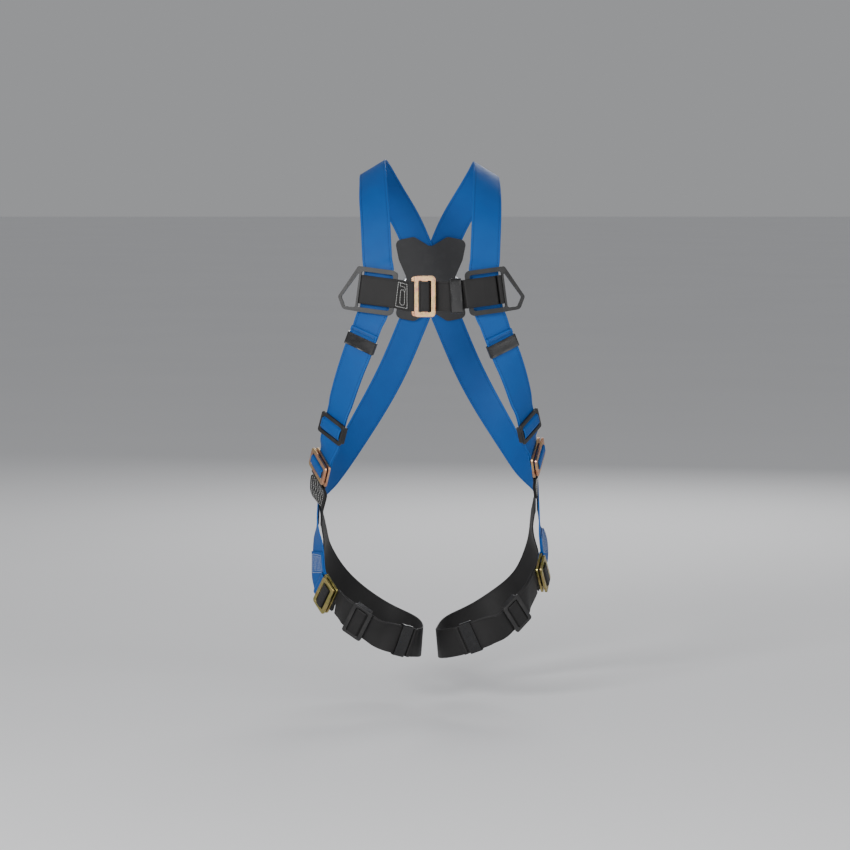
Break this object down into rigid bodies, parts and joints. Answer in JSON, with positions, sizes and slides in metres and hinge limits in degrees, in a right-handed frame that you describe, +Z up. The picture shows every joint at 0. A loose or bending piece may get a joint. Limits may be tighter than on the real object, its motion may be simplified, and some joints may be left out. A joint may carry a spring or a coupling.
{
  "type": "safety harness",
  "caption": "Full-body safety harness in its worn shape: webbing straps, pass-through buckles, adjusters, keepers, chest frames with eyes, and a dorsal plate with a hinged D-ring.",
  "frame": {"origin": "on the wearer's middle plane, between the two shoulder straps and level with the top of the shoulders", "axes": "+Z up the wearer, +X to the wearer's left, and -Y to the wearer's front"},
  "size_m": [0.3711, 0.2807, 0.7641],
  "materials": {
    "blue_webbing": "woven polyester webbing, twill, stitched along both edges",
    "black_webbing": "woven polyester webbing, fine ribs along its length",
    "copper_steel": "pressed steel, chromate plated to a rosy gold",
    "olive_steel": "pressed steel, chromate plated to an olive gold",
    "coated_metal": "black coated metal, satin",
    "slide_metal": "black coated metal, satin, pressed",
    "black_plastic": "soft black plastic, half gloss",
    "plate_plastic": "moulded black plastic, matte",
    "ring_steel": "forged steel, zinc plated"
  },
  "bodies": {
    "harness": {"dorsal_plate": "plate_plastic", "chest_buckle_female": "copper_steel", "shoulder_strap_left": "blue_webbing", "strap_tail_left": "blue_webbing", "back_strap_left": "blue_webbing", "hip_strap_left": "black_webbing", "chest_frame_left": "coated_metal", "chest_strap_left": "black_webbing", "torso_left_buckle_female": "copper_steel", "shoulder_strap_right": "blue_webbing", "strap_tail_right": "blue_webbing", "back_strap_right": "blue_webbing", "hip_strap_right": "black_webbing", "chest_frame_right": "coated_metal", "chest_strap_right": "black_webbing", "torso_right_buckle_female": "copper_steel"},
    "dorsal_ring": {"dorsal_ring": "ring_steel"},
    "chest_plate": {"chest_buckle_male": "copper_steel", "chest_buckle_webbing": "black_webbing"},
    "chest_keeper": {"chest_keeper": "black_plastic"},
    "torso_keeper_left": {"torso_keeper_left": "black_plastic"},
    "torso_adjuster_left": {"torso_left_adjuster": "slide_metal", "torso_left_adjuster_webbing": "blue_webbing"},
    "torso_plate_left": {"torso_left_buckle_male": "copper_steel", "torso_left_buckle_webbing": "blue_webbing"},
    "leg_loop_left": {"leg_strap_left": "black_webbing", "leg_strap_tail_left": "black_webbing", "hip_loop_left": "blue_webbing", "leg_left_buckle_female": "olive_steel"},
    "leg_plate_left": {"leg_left_buckle_male": "olive_steel", "leg_left_buckle_webbing": "black_webbing"},
    "leg_adjuster_left": {"leg_left_adjuster": "slide_metal", "leg_left_adjuster_webbing": "black_webbing"},
    "leg_keeper_left": {"leg_keeper_left": "black_plastic"},
    "torso_keeper_right": {"torso_keeper_right": "black_plastic"},
    "torso_adjuster_right": {"torso_right_adjuster": "slide_metal", "torso_right_adjuster_webbing": "blue_webbing"},
    "torso_plate_right": {"torso_right_buckle_male": "copper_steel", "torso_right_buckle_webbing": "blue_webbing"},
    "leg_loop_right": {"leg_strap_right": "black_webbing", "leg_strap_tail_right": "black_webbing", "hip_loop_right": "blue_webbing", "leg_right_buckle_female": "olive_steel"},
    "leg_plate_right": {"leg_right_buckle_male": "olive_steel", "leg_right_buckle_webbing": "black_webbing"},
    "leg_adjuster_right": {"leg_right_adjuster": "slide_metal", "leg_right_adjuster_webbing": "black_webbing"},
    "leg_keeper_right": {"leg_keeper_right": "black_plastic"}
  },
  "joints": [
    {"name": "dorsal_ring_swing", "type": "hinge", "parent": "harness", "child": "dorsal_ring", "pos_m": [0, 0.1303, -0.175], "axis": [1, 0, 0], "range_deg": [0, 160]},
    {"name": "chest_plate_tilt", "type": "hinge", "parent": "harness", "child": "chest_plate", "pos_m": [0.00635, -0.136, -0.19], "axis": [0, 0, 1], "range_deg": [0, 35]},
    {"name": "chest_keeper_slide", "type": "slide", "parent": "harness", "child": "chest_keeper", "axis": [-0.9941, -0.0891, -0.0624], "range_m": [0, 0.005]},
    {"name": "torso_keeper_left_slide", "type": "slide", "parent": "harness", "child": "torso_keeper_left", "axis": [0.3625, 0.1839, -0.9137], "range_m": [-0.003, 0.008]},
    {"name": "torso_adjuster_left_slide", "type": "slide", "parent": "harness", "child": "torso_adjuster_left", "axis": [0.2056, 0.4197, -0.8841], "range_m": [-0.007, 0.007]},
    {"name": "torso_plate_left_tilt", "type": "hinge", "parent": "harness", "child": "torso_plate_left", "pos_m": [0.16273, -0.0536, -0.42575], "axis": [-0.2019, -0.8189, -0.5372], "range_deg": [0, 35]},
    {"name": "leg_loop_left_swing", "type": "hinge", "parent": "harness", "child": "leg_loop_left", "pos_m": [0.16, -0.00019, -0.5146], "axis": [-1, 0, 0], "range_deg": [-15, 50]},
    {"name": "leg_plate_left_tilt", "type": "hinge", "parent": "leg_loop_left", "child": "leg_plate_left", "pos_m": [0.1705, -0.03267, -0.63292], "axis": [0.1755, 0.7207, -0.6707], "range_deg": [0, 35]},
    {"name": "leg_adjuster_left_slide", "type": "slide", "parent": "leg_loop_left", "child": "leg_adjuster_left", "axis": [0.6556, 0.3675, 0.6597], "range_m": [-0.006, 0]},
    {"name": "leg_keeper_left_slide", "type": "slide", "parent": "leg_loop_left", "child": "leg_keeper_left", "axis": [0.8653, -0.344, 0.3646], "range_m": [-0.003, 0.006]},
    {"name": "torso_keeper_right_slide", "type": "slide", "parent": "harness", "child": "torso_keeper_right", "axis": [-0.3446, 0.1625, -0.9246], "range_m": [-0.003, 0.008]},
    {"name": "torso_adjuster_right_slide", "type": "slide", "parent": "harness", "child": "torso_adjuster_right", "axis": [-0.2413, 0.3135, -0.9184], "range_m": [-0.007, 0.007]},
    {"name": "torso_plate_right_tilt", "type": "hinge", "parent": "harness", "child": "torso_plate_right", "pos_m": [-0.16686, -0.06668, -0.43805], "axis": [-0.3488, 0.809, 0.473], "range_deg": [0, 35]},
    {"name": "leg_loop_right_swing", "type": "hinge", "parent": "harness", "child": "leg_loop_right", "pos_m": [-0.168, -0.0199, -0.53222], "axis": [-1, 0, 0], "range_deg": [-15, 50]},
    {"name": "leg_plate_right_tilt", "type": "hinge", "parent": "leg_loop_right", "child": "leg_plate_right", "pos_m": [-0.15424, -0.06344, -0.66082], "axis": [0.301, -0.6612, 0.6872], "range_deg": [0, 35]},
    {"name": "leg_adjuster_right_slide", "type": "slide", "parent": "leg_loop_right", "child": "leg_adjuster_right", "axis": [-0.813, 0.255, 0.5234], "range_m": [-0.006, 0]},
    {"name": "leg_keeper_right_slide", "type": "slide", "parent": "leg_loop_right", "child": "leg_keeper_right", "axis": [-0.7887, -0.5433, 0.2878], "range_m": [-0.003, 0.006]}
  ]
}
